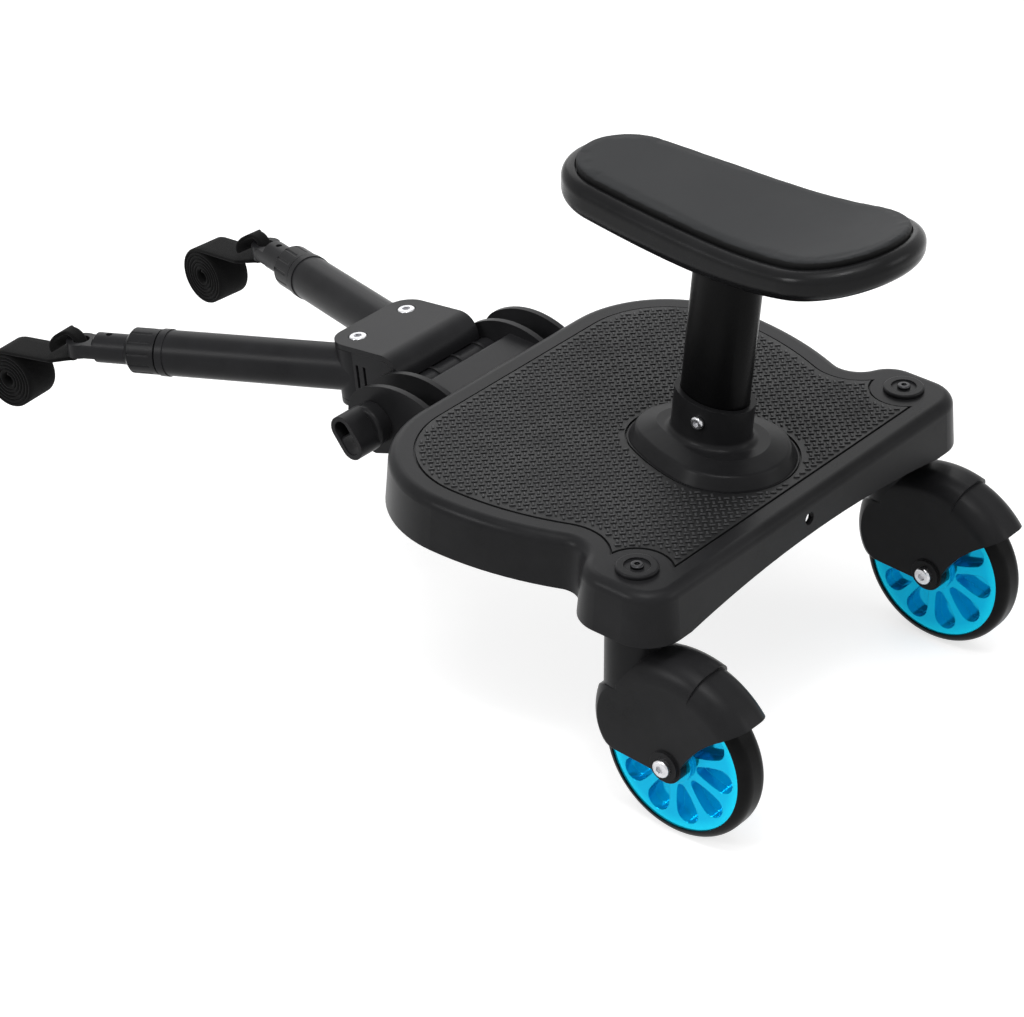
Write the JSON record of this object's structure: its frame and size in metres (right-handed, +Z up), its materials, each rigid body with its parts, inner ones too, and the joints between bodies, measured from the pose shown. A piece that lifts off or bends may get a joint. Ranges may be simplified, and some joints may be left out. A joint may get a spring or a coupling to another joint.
{
  "type": "buggy_board",
  "caption": "Ride-on buggy board: grippy standing deck, saddle seat on an oval post, swivelling casters, and a pitching hinge block with two telescopic arms that end in rolled straps.",
  "frame": {"origin": "centre of the bounding box on the floor under the wheels", "axes": "+X to the right of a child facing the pushchair, +Y forward to the strap ends, +Z up"},
  "size_m": [0.36, 0.7624, 0.3905],
  "materials": {
    "deck_plastic": "satin black moulding",
    "seat_plastic": "satin black moulding",
    "arm_plastic": "satin dark grey moulding",
    "bush_plastic": "natural, plain",
    "tread_rubber": "matte, stippled",
    "pad_foam": "matte moulded foam skin",
    "post_paint": "satin powder coat",
    "strap_webbing": "woven, very matte",
    "wheel_blue": "tinted, glossy",
    "tyre_rubber": "matte, worn smooth",
    "spacer_alloy": "plain turned",
    "bright_steel": "bright zinc",
    "black_steel": "black oxide"
  },
  "bodies": {
    "board": {"deck": "deck_plastic", "tread_mat": "tread_rubber", "caster_bushes": "bush_plastic", "seat_base": "deck_plastic", "base_screws": "bright_steel", "collar_screw": "bright_steel", "seat_post": "post_paint", "post_plug": "bush_plastic", "seat_shell": "seat_plastic", "seat_pad": "pad_foam", "seat_screws": "bright_steel", "hinge_shaft": "bright_steel", "shaft_nut": "bright_steel"},
    "knob": {"clamp_knob": "deck_plastic"},
    "arm_block": {"arm_housing": "arm_plastic", "arm_cover": "arm_plastic", "pivot_screws": "bright_steel", "pivot_nuts": "bright_steel"},
    "arm_left": {"arm_tube_left": "arm_plastic"},
    "collar_left": {"lock_collar_left": "deck_plastic"},
    "slider_left": {"inner_tube_left": "arm_plastic"},
    "strap_left": {"strap_left": "strap_webbing"},
    "caster_left": {"fork_left": "deck_plastic", "king_pin_left": "bright_steel", "cap_washer_left": "deck_plastic", "cap_screw_left": "black_steel", "axle_bolt_left": "bright_steel", "axle_nut_left": "bright_steel"},
    "wheel_left": {"tyre_left": "tyre_rubber", "wheel_core_left": "wheel_blue", "wheel_bearings_left": "bright_steel", "axle_spacer_left": "spacer_alloy"},
    "arm_right": {"arm_tube_right": "arm_plastic"},
    "collar_right": {"lock_collar_right": "deck_plastic"},
    "slider_right": {"inner_tube_right": "arm_plastic"},
    "strap_right": {"strap_right": "strap_webbing"},
    "caster_right": {"fork_right": "deck_plastic", "king_pin_right": "bright_steel", "cap_washer_right": "deck_plastic", "cap_screw_right": "black_steel", "axle_bolt_right": "bright_steel", "axle_nut_right": "bright_steel"},
    "wheel_right": {"tyre_right": "tyre_rubber", "wheel_core_right": "wheel_blue", "wheel_bearings_right": "bright_steel", "axle_spacer_right": "spacer_alloy"}
  },
  "joints": [
    {"name": "knob_turn", "type": "hinge", "parent": "board", "child": "knob", "pos_m": [0, 0.01579, 0.151], "axis": [1, 0, 0], "range_deg": [-270, 0]},
    {"name": "block_pitch", "type": "hinge", "parent": "board", "child": "arm_block", "pos_m": [0, 0.01579, 0.151], "axis": [1, 0, 0], "range_deg": [-8, 35]},
    {"name": "arm_swing_left", "type": "hinge", "parent": "arm_block", "child": "arm_left", "pos_m": [-0.02635, 0.07394, 0.15162], "axis": [0, 0.1271, 0.9919], "range_deg": [-14, 20]},
    {"name": "collar_turn_left", "type": "hinge", "parent": "arm_left", "child": "collar_left", "pos_m": [-0.02635, 0.07394, 0.15162], "axis": [-0.319, 0.9401, -0.1204], "range_deg": [-60, 0]},
    {"name": "tube_slide_left", "type": "slide", "parent": "arm_left", "child": "slider_left", "axis": [-0.319, 0.9401, -0.1204], "range_m": [-0.02, 0.075]},
    {"name": "strap_swing_left", "type": "hinge", "parent": "slider_left", "child": "strap_left", "pos_m": [-0.10131, 0.30237, 0.12235], "axis": [0.9951, 0.0985, -0.0126], "range_deg": [-30, 40]},
    {"name": "caster_swivel_left", "type": "hinge", "parent": "board", "child": "caster_left", "pos_m": [-0.15, -0.27921, 0.148], "axis": [0, 0, 1], "continuous": true},
    {"name": "wheel_spin_left", "type": "hinge", "parent": "caster_left", "child": "wheel_left", "pos_m": [-0.15, -0.32121, 0.06], "axis": [1, 0, 0], "continuous": true},
    {"name": "arm_swing_right", "type": "hinge", "parent": "arm_block", "child": "arm_right", "pos_m": [0.02635, 0.07394, 0.15162], "axis": [0, -0.1271, -0.9919], "range_deg": [-14, 20]},
    {"name": "collar_turn_right", "type": "hinge", "parent": "arm_right", "child": "collar_right", "pos_m": [0.02635, 0.07394, 0.15162], "axis": [0.319, 0.9401, -0.1204], "range_deg": [-60, 0]},
    {"name": "tube_slide_right", "type": "slide", "parent": "arm_right", "child": "slider_right", "axis": [0.319, 0.9401, -0.1204], "range_m": [-0.02, 0.075]},
    {"name": "strap_swing_right", "type": "hinge", "parent": "slider_right", "child": "strap_right", "pos_m": [0.10131, 0.30237, 0.12235], "axis": [0.9951, -0.0985, 0.0126], "range_deg": [-30, 40]},
    {"name": "caster_swivel_right", "type": "hinge", "parent": "board", "child": "caster_right", "pos_m": [0.15, -0.27921, 0.148], "axis": [0, 0, 1], "continuous": true},
    {"name": "wheel_spin_right", "type": "hinge", "parent": "caster_right", "child": "wheel_right", "pos_m": [0.15, -0.32121, 0.06], "axis": [1, 0, 0], "continuous": true}
  ]
}
